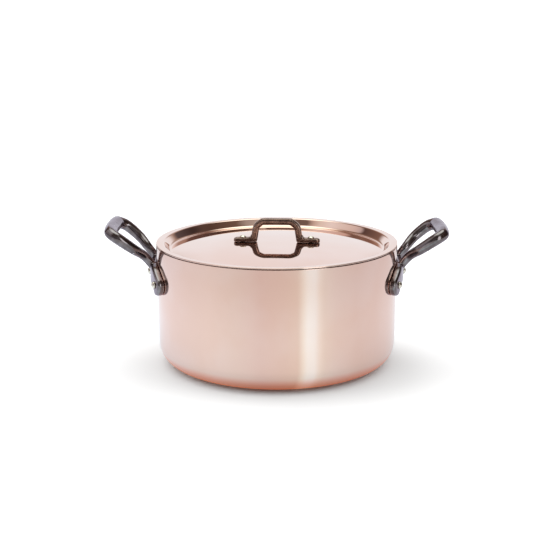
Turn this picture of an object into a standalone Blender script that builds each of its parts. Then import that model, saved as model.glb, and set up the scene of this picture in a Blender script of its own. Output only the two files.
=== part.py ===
# Copper stew pan with two loop handles and a recessed lid with an arch handle.
# Lengths are in metres and +Z is up. The origin is the middle of the base.
# The side handles stand on +X and -X, and the camera side of the pan is -Y.

import math

import bmesh
import bpy
from mathutils import Matrix, Vector

# Pan body, measured on the outside of the copper
PAN_RADIUS = 0.1220         # at the rim
PAN_HEIGHT = 0.1224         # base to rim
WALL_DRAW = 0.0010          # the wall is this much narrower at its foot
BASE_CORNER = 0.0219        # outside radius between wall and base
PAN_COPPER = 0.0015
PAN_LINING = 0.0004

# Clearance between pieces that touch in the real pan
FIT = 0.0003

# Lid, whose flange lies on the rim and reaches as far out as the pan
LID_COPPER = 0.0008
LID_LINING = 0.0004
LID_FLANGE = 0.0077         # width of the flange, to the sharp corner of the step
LID_SHOULDER = 0.0030       # outside radius where the flange turns down
LID_STEP_RUN = 0.0050       # how far in the sloping step goes
LID_STEP_DROP = 0.0065      # how far down the sloping step goes
LID_HOLLOW = 0.0030         # radius at the foot of the step
LID_CROWN = 0.0049          # rise of the panel from its edge to its middle
LID_SEAT_RADIUS = 0.0460    # flat middle of the panel, which carries the handle

# Arch handle on the lid
ARCH_YAW = math.radians(-4.0)
ARCH_WIDTH = 0.0530         # outside, at its feet
ARCH_TOP_WIDTH = 0.0484     # outside, under its top corners
ARCH_HEIGHT = 0.0241
ARCH_BAR = 0.0054           # bar thickness in the plane of the arch
ARCH_DEPTH = 0.0074         # bar thickness across the arch
ARCH_CORNER = 0.0075        # height of the slanting top corners
ARCH_CORNER_WIDTH = 0.0055  # their width
ARCH_SQUARENESS = 3.4
EAR_END = 0.0026            # rounding of an ear's end
EAR_FILLET = 0.0024         # rounding between ear and leg
EAR_REACH = 0.0437          # middle of the arch to the end of an ear
EAR_THICKNESS = 0.0037
EAR_DEPTH = 0.0080          # width of an ear, across the arch

# Rivets of the arch handle
ARCH_RIVET_SPREAD = 0.0346  # middle of the arch to a rivet
ARCH_RIVET_SHANK = 0.0018
ARCH_RIVET_HEAD = 0.0033
ARCH_RIVET_HEAD_RISE = 0.0018

# Foot plate of a side handle, bent round the wall
PLATE_THICKNESS = 0.0066
PLATE_ROUNDING = 0.0022
RIVET_DROP = 0.0339         # rim to the two lower rivets
RIVET_SPREAD = 0.0430       # middle of the plate to a lower rivet, along the wall
MIDDLE_RIVET_RISE = 0.0042  # middle rivet above the lower ones
LOBE_RADIUS = 0.0112        # round end of the plate about a lower rivet
NECK_RISE = 0.0168          # top edge of the plate above the lower rivets
NECK_HALF_WIDTH = 0.0250    # middle of the plate to the outside of a bar's root
BRIDGE_DROP = 0.0040        # lower edge of the plate below the lower rivets' height

# Loop of a side handle
LOOP_REACH = 0.0445         # wall to the middle of the grip bar
LOOP_RISE = 0.0493          # lower rivets to the middle of the grip bar
LOOP_HALF_WIDTH = 0.0345    # to the middle of a bar, at the widest place
ROOT_HALF_WIDTH = 0.0195    # to the middle of a bar, at the plate
ROOT_RISE = 0.0104          # lower rivets to the root of a bar
BAR_HALF_WIDTH = 0.0036     # half width of a bar near its root
BAR_HALF_THICKNESS = 0.0040
GRIP_HALF_WIDTH = 0.0066    # half width of the grip bar
GRIP_HALF_THICKNESS = 0.0050
LOOP_SQUARENESS = 2.3
LOOP_NOSE = 0.0010          # how far the grip bar bows outwards

# Where the loop's middle line runs, from root to grip, as shares of the way from
# the root to the reach, the rise and the half width above
LOOP_SHARES = ((0.00, 0.00, 0.00), (0.24, 0.355, 0.01), (0.47, 0.60, 0.74),
               (0.80, 0.89, 0.97), (0.98, 0.99, 0.20))

# Rivets of the side handles
WALL_RIVET_SHANK = 0.0022
WALL_RIVET_HEAD = 0.0036
WALL_RIVET_HEAD_RISE = 0.0030
INNER_HEAD = 0.0045
INNER_HEAD_RISE = 0.0016
HEAD_BAND = 0.35            # share of a head's rise that is a straight band

# Number of flats on the round pieces
ROUND_STEPS = 64
CORNER_STEPS = 5
CROWN_STEPS = 3
BLEND_STEPS = 3
DOME_STEPS = 2
RIVET_STEPS = 12
LOOP_STATIONS = 38
LOOP_SIDES = 12
FLAT_ANGLE = 2 * math.pi / ROUND_STEPS

PAN_WALL = PAN_COPPER + FIT + PAN_LINING
LID_WALL = LID_COPPER + FIT + LID_LINING
LID_TOP = PAN_HEIGHT + FIT + LID_WALL
PANEL_TOP = LID_TOP - LID_STEP_DROP + LID_CROWN
RIVET_HEIGHT = PAN_HEIGHT - RIVET_DROP


def clear_scene():
    for thing in list(bpy.data.objects):
        bpy.data.objects.remove(thing, do_unlink=True)


def new_collection(name):
    collection = bpy.data.collections.new(name)
    bpy.context.scene.collection.children.link(collection)
    return collection


def metal(name, colour, roughness):
    material = bpy.data.materials.new(name)
    material.use_nodes = True
    shader = material.node_tree.nodes["Principled BSDF"]
    shader.inputs["Base Color"].default_value = (*colour, 1.0)
    shader.inputs["Roughness"].default_value = roughness
    shader.inputs["Metallic"].default_value = 1.0
    material.diffuse_color = (*colour, 1.0)
    return material


def add_object(name, mesh, collection, material=None):
    thing = bpy.data.objects.new(name, mesh)
    collection.objects.link(thing)
    if material:
        mesh.materials.append(material)
    return thing


def shade_round(mesh, degrees=35):
    mesh.shade_smooth()
    mesh.set_sharp_from_angle(angle=math.radians(degrees))


def turned(name, outline, steps, collection, material=None):
    # outline runs from the axis along the upper face, then down the outside and back
    mesh = bpy.data.meshes.new(name)
    points = [(radius, 0.0, height) for radius, height in outline]
    mesh.from_pydata(points, [(i, i + 1) for i in range(len(points) - 1)], [])
    thing = add_object(name, mesh, collection, material)
    turn = thing.modifiers.new("Turn", "SCREW")
    turn.axis = "Z"
    turn.steps = steps
    turn.render_steps = steps
    turn.use_merge_vertices = True
    turn.merge_threshold = 0.00001
    turn.use_smooth_shade = True
    return thing


def evaluated_mesh(thing):
    graph = bpy.context.evaluated_depsgraph_get()
    return bpy.data.meshes.new_from_object(thing.evaluated_get(graph))


def curve_to_mesh(curve_object, collection):
    mesh = evaluated_mesh(curve_object)
    work = bmesh.new()
    work.from_mesh(mesh)
    bmesh.ops.remove_doubles(work, verts=work.verts, dist=0.00001)
    work.to_mesh(mesh)
    work.free()
    result = add_object(curve_object.name + "_mesh", mesh, collection)
    result.matrix_world = curve_object.matrix_world.copy()
    bpy.data.objects.remove(curve_object, do_unlink=True)
    return result


def as_cutter(thing):
    thing.hide_render = True
    thing.display_type = "WIRE"
    return thing


def boolean(thing, other, operation):
    step = thing.modifiers.new(operation.title(), "BOOLEAN")
    step.operation = operation
    step.solver = "EXACT"
    step.object = other


def drill(name, places, radius, depth, steps, collection):
    # one cutter that holds a straight pin at each place, along that place's Z axis
    work = bmesh.new()
    for place in places:
        bmesh.ops.create_cone(work, cap_ends=True, segments=steps, radius1=radius,
                              radius2=radius, depth=depth, matrix=place)
    mesh = bpy.data.meshes.new(name)
    work.to_mesh(mesh)
    work.free()
    return as_cutter(add_object(name, mesh, collection))


def pan_face(depth):
    # side view of the face that lies depth inside the outer face, rim to middle
    foot = PAN_RADIUS - WALL_DRAW - depth
    corner = BASE_CORNER - depth
    points = [(PAN_RADIUS - depth, PAN_HEIGHT)]
    for i in range(CORNER_STEPS + 1):
        angle = math.pi / 2 * i / CORNER_STEPS
        points.append((foot - corner * (1 - math.cos(angle)),
                       depth + corner * (1 - math.sin(angle))))
    points.append((0.0, depth))
    return points


def wall_radius(height):
    # outside radius of the copper between the rim and the base corner
    span = PAN_HEIGHT - BASE_CORNER
    return PAN_RADIUS - WALL_DRAW * (PAN_HEIGHT - height) / span


def pan_shell(name, outer, inner, holes, collection, material):
    outline = list(reversed(pan_face(inner))) + pan_face(outer)
    shell = turned(name, outline, ROUND_STEPS, collection, material)
    boolean(shell, holes, "DIFFERENCE")
    return shell


def blend_corner(before, corner, after, radius, steps):
    # points of a round corner of the given radius between two straight runs
    a = (Vector(before) - Vector(corner)).normalized()
    b = (Vector(after) - Vector(corner)).normalized()
    half = a.angle(b) / 2
    middle = Vector(corner) + (a + b).normalized() * radius / math.sin(half)
    start = Vector(corner) + a * radius / math.tan(half) - middle
    sweep = math.pi - 2 * half
    turn = math.copysign(1.0, start.x * b.y - start.y * b.x)
    points = []
    for i in range(steps + 1):
        angle = turn * sweep * i / steps
        points.append((middle.x + start.x * math.cos(angle) - start.y * math.sin(angle),
                       middle.y + start.x * math.sin(angle) + start.y * math.cos(angle)))
    return points


def lid_top_face():
    # side view of the lid's upper face, from its middle to the edge of the flange
    step_out = (PAN_RADIUS - LID_FLANGE, LID_TOP)
    rim = (PAN_RADIUS, LID_TOP)
    panel_edge = step_out[0] - LID_STEP_RUN
    crown = []
    for i in range(CROWN_STEPS + 1):
        part = i / CROWN_STEPS
        radius = LID_SEAT_RADIUS + (panel_edge - LID_SEAT_RADIUS) * part
        crown.append((radius, PANEL_TOP - LID_CROWN * part * part))
    edge = crown.pop()
    hollow = blend_corner(crown[-1], edge, step_out, LID_HOLLOW, BLEND_STEPS - 1)
    shoulder = blend_corner(edge, step_out, rim, LID_SHOULDER, BLEND_STEPS)
    return [(0.0, PANEL_TOP)] + crown + hollow + shoulder + [rim]


def lid_face(depth):
    # the upper face moved down along its own normals
    top = lid_top_face()
    points = []
    for i, (radius, height) in enumerate(top):
        before = Vector(top[max(i - 1, 0)])
        after = Vector(top[min(i + 1, len(top) - 1)])
        along = (after - before).normalized()
        points.append((radius + along.y * depth, height - along.x * depth))
    points[0] = (0.0, PANEL_TOP - depth)
    points[-1] = (PAN_RADIUS, LID_TOP - depth)
    return points


def lid_shell(name, upper, lower, holes, collection, material):
    outline = lid_face(upper) + list(reversed(lid_face(lower)))
    shell = turned(name, outline, ROUND_STEPS, collection, material)
    boolean(shell, holes, "DIFFERENCE")
    return shell


def dome(radius, rise, steps):
    # side view of a domed rivet head, from its tip to its edge
    ball = (radius * radius + rise * rise) / (2 * rise)
    reach = math.asin(min(radius / ball, 1.0))
    return [(ball * math.sin(reach * i / steps), ball * math.cos(reach * i / steps) - ball + rise)
            for i in range(steps + 1)]


def head_face(head):
    # a dome on a short straight band, head being its (radius, rise)
    radius, rise = head
    points = dome(radius, rise * (1 - HEAD_BAND), DOME_STEPS)
    return [(r, h + rise * HEAD_BAND) for r, h in points]


def rivet(name, place, grip, head, under, shank, collection, material):
    # place is the seat of the outer head, with Z pointing away from the riveted
    # sheets. grip is their thickness, head and under are (radius, rise) of the heads
    top = head_face(head) + [(head[0], 0.0)]
    stem = [(shank, 0.0), (shank, -grip), (under[0], -grip)]
    foot = [(r, -grip - h) for r, h in reversed(head_face(under))]
    thing = turned(name, top + stem + foot, RIVET_STEPS, collection, material)
    thing.matrix_world = place
    return thing


def on_wall(along, height, out):
    # frame on the wall at +X: Z points outwards and X runs along the wall
    angle = along / PAN_RADIUS
    radius = wall_radius(height) + out
    outward = Vector((math.cos(angle), math.sin(angle), 0.0))
    sideways = Vector((-math.sin(angle), math.cos(angle), 0.0))
    up = Vector((0.0, 0.0, 1.0))
    frame = Matrix((sideways, up, outward)).transposed().to_4x4()
    return Matrix.Translation(Vector((radius * outward.x, radius * outward.y, height))) @ frame


def wall_rivet_places(out):
    middle = on_wall(0.0, RIVET_HEIGHT + MIDDLE_RIVET_RISE, out)
    return [on_wall(-RIVET_SPREAD, RIVET_HEIGHT, out), middle,
            on_wall(RIVET_SPREAD, RIVET_HEIGHT, out)]


def foot_plate(name, collection):
    # the flat outline: one point for each place where its curve changes direction
    side = RIVET_SPREAD + LOBE_RADIUS
    half = [(NECK_HALF_WIDTH, NECK_RISE), (RIVET_SPREAD, LOBE_RADIUS), (side, 0.0),
            (RIVET_SPREAD, -LOBE_RADIUS), (RIVET_SPREAD - LOBE_RADIUS, -LOBE_RADIUS / 2)]
    mirrored = [(-along, rise) for along, rise in reversed(half)]
    outline = [(0.0, NECK_RISE)] + half + [(0.0, -BRIDGE_DROP)] + mirrored
    curve = bpy.data.curves.new(name, "CURVE")
    curve.dimensions = "2D"
    curve.fill_mode = "BOTH"
    curve.resolution_u = 3
    curve.extrude = PLATE_THICKNESS / 2 - PLATE_ROUNDING
    curve.bevel_depth = PLATE_ROUNDING
    curve.bevel_resolution = 1
    curve.offset = -PLATE_ROUNDING
    spline = curve.splines.new("BEZIER")
    spline.bezier_points.add(len(outline) - 1)
    spline.use_cyclic_u = True
    for point, (along, rise) in zip(spline.bezier_points, outline):
        point.co = (along, rise, 0.0)
        point.handle_left_type = "AUTO"
        point.handle_right_type = "AUTO"
    plate = curve_to_mesh(add_object(name, curve, collection), collection)

    # bend it round the wall, creased on the same lines as the flats of the pan
    work = bmesh.new()
    work.from_mesh(plate.data)
    creases = math.ceil(side / (FLAT_ANGLE * PAN_RADIUS))
    for i in range(-creases, creases + 1):
        everything = work.verts[:] + work.edges[:] + work.faces[:]
        bmesh.ops.bisect_plane(work, geom=everything, dist=0.000001,
                               plane_co=(i * FLAT_ANGLE * PAN_RADIUS, 0.0, 0.0),
                               plane_no=(1.0, 0.0, 0.0))
    for vert in work.verts:
        along, rise, out = vert.co
        height = RIVET_HEIGHT + rise
        radius = wall_radius(height) + FIT + PLATE_THICKNESS / 2 + out
        angle = along / PAN_RADIUS
        vert.co = (radius * math.cos(angle), radius * math.sin(angle), height)
    work.to_mesh(plate.data)
    work.free()
    return plate


def loop_line():
    # middle line of the loop on the +X side, from root to root
    root = (0.0, ROOT_RISE, ROOT_HALF_WIDTH)
    reach = (LOOP_REACH, LOOP_RISE, LOOP_HALF_WIDTH)
    half = []
    for share in LOOP_SHARES:
        out, rise, spread = (a + (b - a) * part for a, b, part in zip(root, reach, share))
        half.append(Vector((wall_radius(RIVET_HEIGHT) + out, spread, RIVET_HEIGHT + rise)))
    middle = half[-1].copy()
    middle.y = 0.0
    middle.x += LOOP_NOSE
    other = [Vector((p.x, -p.y, p.z)) for p in reversed(half)]
    return half + [middle] + other


def smooth_line(points, count):
    # evenly spaced points on a smooth curve through the given ones
    first = points[0] * 2 - points[1]
    last = points[-1] * 2 - points[-2]
    knots = [first] + points + [last]
    dense = []
    pieces = 24
    for i in range(1, len(knots) - 2):
        a, b, c, d = knots[i - 1:i + 3]
        for j in range(pieces):
            t = j / pieces
            dense.append(0.5 * (2 * b + (c - a) * t + (2 * a - 5 * b + 4 * c - d) * t * t
                                + (3 * b - a - 3 * c + d) * t * t * t))
    dense.append(points[-1])
    lengths = [0.0]
    for a, b in zip(dense, dense[1:]):
        lengths.append(lengths[-1] + (b - a).length)
    result = []
    j = 0
    for i in range(count):
        wanted = lengths[-1] * i / (count - 1)
        while j < len(dense) - 2 and lengths[j + 1] < wanted:
            j += 1
        part = (wanted - lengths[j]) / (lengths[j + 1] - lengths[j])
        result.append(dense[j].lerp(dense[j + 1], part))
    return result


def loft(name, stations, power, collection):
    # a closed bar through rings. A station is (middle, one half axis, other half axis)
    # and power squares the ring up: 2 gives an oval, 4 a bar with round edges
    work = bmesh.new()
    rings = []
    for middle, first, second in stations:
        ring = []
        for j in range(LOOP_SIDES):
            angle = 2 * math.pi * (j + 0.5) / LOOP_SIDES
            c = math.copysign(abs(math.cos(angle)) ** (2 / power), math.cos(angle))
            d = math.copysign(abs(math.sin(angle)) ** (2 / power), math.sin(angle))
            ring.append(work.verts.new(middle + first * c + second * d))
        rings.append(ring)
    for a, b in zip(rings, rings[1:]):
        for j in range(LOOP_SIDES):
            k = (j + 1) % LOOP_SIDES
            work.faces.new((a[j], a[k], b[k], b[j]))
    work.faces.new(rings[0])
    work.faces.new(rings[-1])
    bmesh.ops.recalc_face_normals(work, faces=work.faces)
    mesh = bpy.data.meshes.new(name)
    work.to_mesh(mesh)
    work.free()
    return add_object(name, mesh, collection)


def handle_loop(name, collection):
    # narrow at the roots and broad at the grip
    line = smooth_line(loop_line(), LOOP_STATIONS)
    rise = line[LOOP_STATIONS // 3] - line[0]
    facing = Vector((-rise.z, 0.0, rise.x)).normalized()
    stations = []
    for i, point in enumerate(line):
        along = (line[min(i + 1, len(line) - 1)] - line[max(i - 1, 0)]).normalized()
        normal = (facing - along * facing.dot(along)).normalized()
        across = along.cross(normal)
        part = 1 - abs(2 * i / (len(line) - 1) - 1)
        ease = part * part * (3 - 2 * part)
        wide = BAR_HALF_WIDTH + (GRIP_HALF_WIDTH - BAR_HALF_WIDTH) * ease
        thick = BAR_HALF_THICKNESS + (GRIP_HALF_THICKNESS - BAR_HALF_THICKNESS) * ease
        stations.append((point, across * wide, normal * thick))
    return loft(name, stations, LOOP_SQUARENESS, collection)


def side_handle_mesh(cutters):
    # the casting on the +X side: foot plate and loop in one, with its rivet holes
    plate = foot_plate("foot_plate", cutters)
    loop = as_cutter(handle_loop("loop", cutters))
    rim = PAN_RADIUS + FIT
    foot = rim - WALL_DRAW
    wall = turned("wall", [(0.0, PAN_HEIGHT), (rim, PAN_HEIGHT), (foot, BASE_CORNER),
                           (0.0, BASE_CORNER)], ROUND_STEPS, cutters)
    holes = drill("handle_holes", wall_rivet_places(0.0), WALL_RIVET_SHANK + FIT,
                  4 * PLATE_THICKNESS, RIVET_STEPS, cutters)
    boolean(plate, loop, "UNION")
    boolean(plate, as_cutter(wall), "DIFFERENCE")
    boolean(plate, holes, "DIFFERENCE")
    mesh = evaluated_mesh(plate)
    shade_round(mesh)
    as_cutter(plate)
    return mesh


def arch_line():
    # middle line of the arch in the XZ plane, each foot ending inside its ear
    half_bar = ARCH_BAR / 2
    foot = (ARCH_WIDTH / 2 - half_bar, EAR_THICKNESS / 4)
    shoulder = (ARCH_TOP_WIDTH / 2 - half_bar, ARCH_HEIGHT - ARCH_CORNER)
    crest = (shoulder[0] - ARCH_CORNER_WIDTH, ARCH_HEIGHT - half_bar)
    middle = (0.0, crest[1])
    half = [middle] + blend_corner(middle, crest, shoulder, ARCH_BAR, BLEND_STEPS)
    half += blend_corner(crest, shoulder, foot, ARCH_BAR, BLEND_STEPS)
    half.append(foot)
    left = [(-x, z) for x, z in reversed(half[1:])]
    return [Vector((x, 0.0, z)) for x, z in left + half]


def arch_bar(name, collection):
    line = arch_line()
    across = Vector((0.0, ARCH_DEPTH / 2, 0.0))
    stations = []
    for i, point in enumerate(line):
        along = (line[min(i + 1, len(line) - 1)] - line[max(i - 1, 0)]).normalized()
        normal = Vector((-along.z, 0.0, along.x))
        stations.append((point, across, normal * ARCH_BAR / 2))
    return loft(name, stations, ARCH_SQUARENESS, collection)


def ear_bar(name, side, collection):
    # from under the leg outwards, swelling into the leg and rounded at its end
    leg = ARCH_WIDTH / 2
    run = [(leg - ARCH_BAR + FIT, EAR_FILLET, 0.0)]
    for turn in (0, 45, 90):
        angle = math.radians(turn)
        run.append((leg + EAR_FILLET * (1 - math.cos(angle)),
                    EAR_FILLET * (1 - math.sin(angle)), 0.0))
    for turn in (0, 45, 75, 90):
        angle = math.radians(turn)
        run.append((EAR_REACH - EAR_END * (1 - math.sin(angle)), 0.0,
                    EAR_END * (1 - math.cos(angle))))
    stations = []
    for x, swell, inset in run:
        thick = EAR_THICKNESS + swell
        stations.append((Vector((side * x, 0.0, thick / 2)),
                         Vector((0.0, EAR_DEPTH / 2 - inset, 0.0)),
                         Vector((0.0, 0.0, thick / 2))))
    return loft(name, stations, ARCH_SQUARENESS, collection)


def arch_handle(name, rivet_holes, parts, cutters, material):
    bar = arch_bar(name + "_arch", cutters)
    for side in (-1, 1):
        boolean(bar, as_cutter(ear_bar(name + "_ear", side, cutters)), "UNION")
    mesh = evaluated_mesh(bar)
    as_cutter(bar)
    mesh.transform(Matrix.Translation((0.0, 0.0, PANEL_TOP + FIT))
                   @ Matrix.Rotation(ARCH_YAW, 4, "Z"))
    shade_round(mesh)
    handle = add_object(name, mesh, parts, material)
    boolean(handle, rivet_holes, "DIFFERENCE")
    return handle


def arch_rivet_places(height):
    yaw = Matrix.Rotation(ARCH_YAW, 4, "Z")
    return [yaw @ Matrix.Translation((side * ARCH_RIVET_SPREAD, 0.0, height)) for side in (-1, 1)]


def build_pan(parts, cutters):
    copper = metal("pan_copper", (0.78, 0.46, 0.36), 0.12)
    steel = metal("pan_steel", (0.62, 0.61, 0.59), 0.32)
    sides = (("right", 0.0, ("front", "middle", "rear")),
             ("left", math.pi, ("rear", "middle", "front")))

    places = []
    for side, turn, labels in sides:
        spin = Matrix.Rotation(turn, 4, "Z")
        places += [spin @ place for place in wall_rivet_places(0.0)]
    holes = drill("wall_holes", places, WALL_RIVET_SHANK + FIT, 4 * PLATE_THICKNESS,
                  RIVET_STEPS, cutters)
    pan_shell("pan_copper_body", 0.0, PAN_COPPER, holes, parts, copper)
    pan_shell("pan_steel_lining", PAN_COPPER + FIT, PAN_WALL, holes, parts, steel)

    casting = side_handle_mesh(cutters)
    plate_face = FIT + PLATE_THICKNESS + FIT
    grip = plate_face + PAN_WALL + FIT
    for side, turn, labels in sides:
        iron = metal(side + "_handle_iron", (0.20, 0.18, 0.18), 0.35)
        handle = add_object(side + "_handle", casting.copy(), parts, iron)
        handle.rotation_euler = (0.0, 0.0, turn)
        spin = Matrix.Rotation(turn, 4, "Z")
        for label, place in zip(labels, wall_rivet_places(plate_face)):
            name = f"{side}_handle_rivet_{label}"
            rivet(name, spin @ place, grip, (WALL_RIVET_HEAD, WALL_RIVET_HEAD_RISE),
                  (INNER_HEAD, INNER_HEAD_RISE), WALL_RIVET_SHANK, parts,
                  metal(name + "_steel", (0.72, 0.71, 0.69), 0.25))


def build_lid(parts, cutters):
    copper = metal("lid_copper", (0.80, 0.50, 0.41), 0.10)
    steel = metal("lid_steel", (0.62, 0.61, 0.59), 0.32)
    iron = metal("lid_handle_iron", (0.20, 0.18, 0.18), 0.35)
    holes = drill("lid_holes", arch_rivet_places(PANEL_TOP), ARCH_RIVET_SHANK + FIT,
                  4 * EAR_THICKNESS, RIVET_STEPS, cutters)
    pieces = [lid_shell("lid_copper_shell", 0.0, LID_COPPER, holes, parts, copper),
              lid_shell("lid_steel_lining", LID_COPPER + FIT, LID_WALL, holes, parts, steel),
              arch_handle("lid_handle", holes, parts, cutters, iron)]
    ear_face = FIT + EAR_THICKNESS + FIT
    grip = ear_face + LID_WALL + FIT
    for side, place in zip(("left", "right"), arch_rivet_places(PANEL_TOP + ear_face)):
        name = f"lid_rivet_{side}"
        pieces.append(rivet(name, place, grip, (ARCH_RIVET_HEAD, ARCH_RIVET_HEAD_RISE),
                            (INNER_HEAD, INNER_HEAD_RISE), ARCH_RIVET_SHANK, parts,
                            metal(name + "_steel", (0.72, 0.71, 0.69), 0.25)))

    # the whole lid hangs from one empty on the line that it lifts along
    seat = bpy.data.objects.new("lid_seat", None)
    parts.objects.link(seat)
    seat.location = (0.0, 0.0, PAN_HEIGHT)
    for piece in pieces:
        piece.parent = seat
        piece.matrix_parent_inverse = Matrix.Translation((0.0, 0.0, -PAN_HEIGHT))


clear_scene()
part_collection = new_collection("copper_stew_pan")
cutter_collection = new_collection("cutters")
build_pan(part_collection, cutter_collection)
build_lid(part_collection, cutter_collection)
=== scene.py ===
# Copper stew pan with its lid on: the finish of every surface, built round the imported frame.
# Lengths are in metres. The camera looks along +Y, and the side handles stand on +X and -X.
import math

import bpy
import numpy as np
from mathutils import Matrix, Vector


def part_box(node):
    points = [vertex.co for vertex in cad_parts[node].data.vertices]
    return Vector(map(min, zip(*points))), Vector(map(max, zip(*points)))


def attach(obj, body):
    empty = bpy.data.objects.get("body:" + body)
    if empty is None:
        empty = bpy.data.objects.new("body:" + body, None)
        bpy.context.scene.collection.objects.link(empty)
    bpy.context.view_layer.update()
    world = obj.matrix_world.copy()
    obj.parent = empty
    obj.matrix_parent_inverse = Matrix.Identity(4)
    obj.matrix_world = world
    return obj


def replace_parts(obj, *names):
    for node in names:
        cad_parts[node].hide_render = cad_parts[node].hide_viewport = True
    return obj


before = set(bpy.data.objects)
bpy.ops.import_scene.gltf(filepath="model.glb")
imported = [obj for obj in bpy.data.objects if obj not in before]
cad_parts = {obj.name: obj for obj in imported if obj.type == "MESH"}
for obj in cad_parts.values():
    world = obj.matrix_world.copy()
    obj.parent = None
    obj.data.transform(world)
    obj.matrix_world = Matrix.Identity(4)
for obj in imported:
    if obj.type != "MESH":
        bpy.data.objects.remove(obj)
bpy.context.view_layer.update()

scene = bpy.context.scene
print("frame loaded with", len(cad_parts), "nodes")

# what the frame says about the places of things
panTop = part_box("pan_copper_body")[1]
panRadius = panTop.x
panHeight = panTop.z
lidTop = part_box("lid_copper_shell")[1].z
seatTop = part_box("lid_handle")[0].z      # underside of the lid handle's ears
clearance = 0.0003                       # between pieces that touch in the real pan
sheetGap = 0.00002                       # between a copper sheet and its lining


# Shapes: grids of points worked out with numpy

def gridFaces(rows, columns):
    # quads between the rows of a grid whose columns run all the way round
    r, c = np.meshgrid(np.arange(rows - 1), np.arange(columns), indexing="ij")
    n = (c + 1) % columns
    quads = np.stack([r * columns + c, r * columns + n, (r + 1) * columns + n,
                      (r + 1) * columns + c], axis=-1)
    return quads.reshape(-1, 4)


def signedVolume(points, faces):
    # six times the volume of the tetrahedra from the origin to each face's fan
    total = 0.0
    for i in range(1, faces.shape[1] - 1):
        a, b, c = points[faces[:, 0]], points[faces[:, i]], points[faces[:, i + 1]]
        total += float(np.einsum("ij,ij->i", a, np.cross(b, c)).sum())
    return total


def outwards(points, faceSets):
    # faceSets are arrays of quads or triangles, all wound the same way. They are turned
    # over together where the volume comes out negative
    if sum(signedVolume(points, faces) for faces in faceSets) < 0:
        faceSets = [faces[:, ::-1] for faces in faceSets]
    return faceSets


def makeMesh(name, points, faceSets):
    faces = [face for faces in outwards(points, faceSets) for face in faces.tolist()]
    mesh = bpy.data.meshes.new(name)
    mesh.from_pydata(points.tolist(), [], faces)
    mesh.shade_smooth()
    return mesh


def addPiece(name, mesh, material):
    piece = bpy.data.objects.new(name, mesh)
    scene.collection.objects.link(piece)
    mesh.materials.clear()
    mesh.materials.append(material)
    return piece


def arc(centreX, centreZ, radius, startDegrees, endDegrees, steps):
    # points on a circle, the angle counted from +X towards +Z
    angle = np.radians(np.linspace(startDegrees, endDegrees, steps + 1))
    return np.column_stack([centreX + radius * np.cos(angle), centreZ + radius * np.sin(angle)])


def straight(start, end, steps):
    return np.linspace(start, end, steps + 1)


def outline(*runs):
    # runs of (x, z) points end to end, with the points that two runs share kept once
    points = np.vstack([np.atleast_2d(run) for run in runs])
    apart = np.linalg.norm(np.diff(points, axis=0), axis=1) > 1e-7
    return points[np.concatenate([[True], apart])]


def shut(rings, start, end):
    # a grid of points, one ring to a row, with a fan to a single point at each end
    rows, around = rings.shape[:2]
    points = np.vstack([rings.reshape(-1, 3), start, end])
    ring = np.arange(around)
    following = (ring + 1) % around
    base = (rows - 1) * around
    first = np.column_stack([following, ring, np.full(around, rows * around)])
    last = np.column_stack([ring + base, following + base, np.full(around, rows * around + 1)])
    return points, [gridFaces(rows, around), first, last]


def turned(profile, around, place=None):
    # surface of revolution: (r, z) becomes (r cos a, r sin a, z) for a all the way
    # round. The profile starts and ends on the axis, and each end is a single point
    angle = np.linspace(0, 2 * math.pi, around, endpoint=False)
    radius, height = profile[1:-1, 0][:, None], profile[1:-1, 1][:, None]
    rings = np.stack([radius * np.cos(angle), radius * np.sin(angle), height + 0 * angle], axis=-1)
    points, faceSets = shut(rings, (0, 0, profile[0, 1]), (0, 0, profile[-1, 1]))
    if place is not None:
        points = points @ place[:3, :3].T + place[:3, 3]
    return points, faceSets


def swept(path, across, normal, power, sides):
    # a bar along a path: each ring is the middle + across cos(a) + normal sin(a), with
    # the sine and cosine raised to 2 / power, which squares the ring up
    angle = 2 * math.pi * (np.arange(sides) + 0.5) / sides
    c = np.sign(np.cos(angle)) * np.abs(np.cos(angle)) ** (2 / power)
    s = np.sign(np.sin(angle)) * np.abs(np.sin(angle)) ** (2 / power)
    rings = (path[:, None, :] + across[:, None, :] * c[None, :, None]
             + normal[:, None, :] * s[None, :, None])
    return shut(rings, path[0], path[-1])


def directions(path):
    # unit tangent of a path at each of its points
    step = np.gradient(path, axis=0)
    return step / np.linalg.norm(step, axis=1)[:, None]


def evenly(points, count):
    # the same line with count points, evenly spaced by length
    lengths = np.concatenate([[0], np.cumsum(np.linalg.norm(np.diff(points, axis=0), axis=1))])
    wanted = np.linspace(0, lengths[-1], count)
    return np.column_stack([np.interp(wanted, lengths, points[:, i]) for i in range(points.shape[1])])


def throughPoints(points, pieces):
    # Catmull-Rom curve: between b and c, with neighbours a and d, half of
    # 2b + (c - a)t + (2a - 5b + 4c - d)t^2 + (3b - a - 3c + d)t^3
    knots = np.vstack([2 * points[0] - points[1], points, 2 * points[-1] - points[-2]])
    a, b, c, d = (knots[i:len(knots) - 3 + i, None, :] for i in range(4))
    t = np.linspace(0, 1, pieces, endpoint=False)[None, :, None]
    curve = 0.5 * (2 * b + (c - a) * t + (2 * a - 5 * b + 4 * c - d) * t ** 2
                   + (3 * b - a - 3 * c + d) * t ** 3)
    return np.vstack([curve.reshape(-1, points.shape[1]), points[-1:]])


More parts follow.
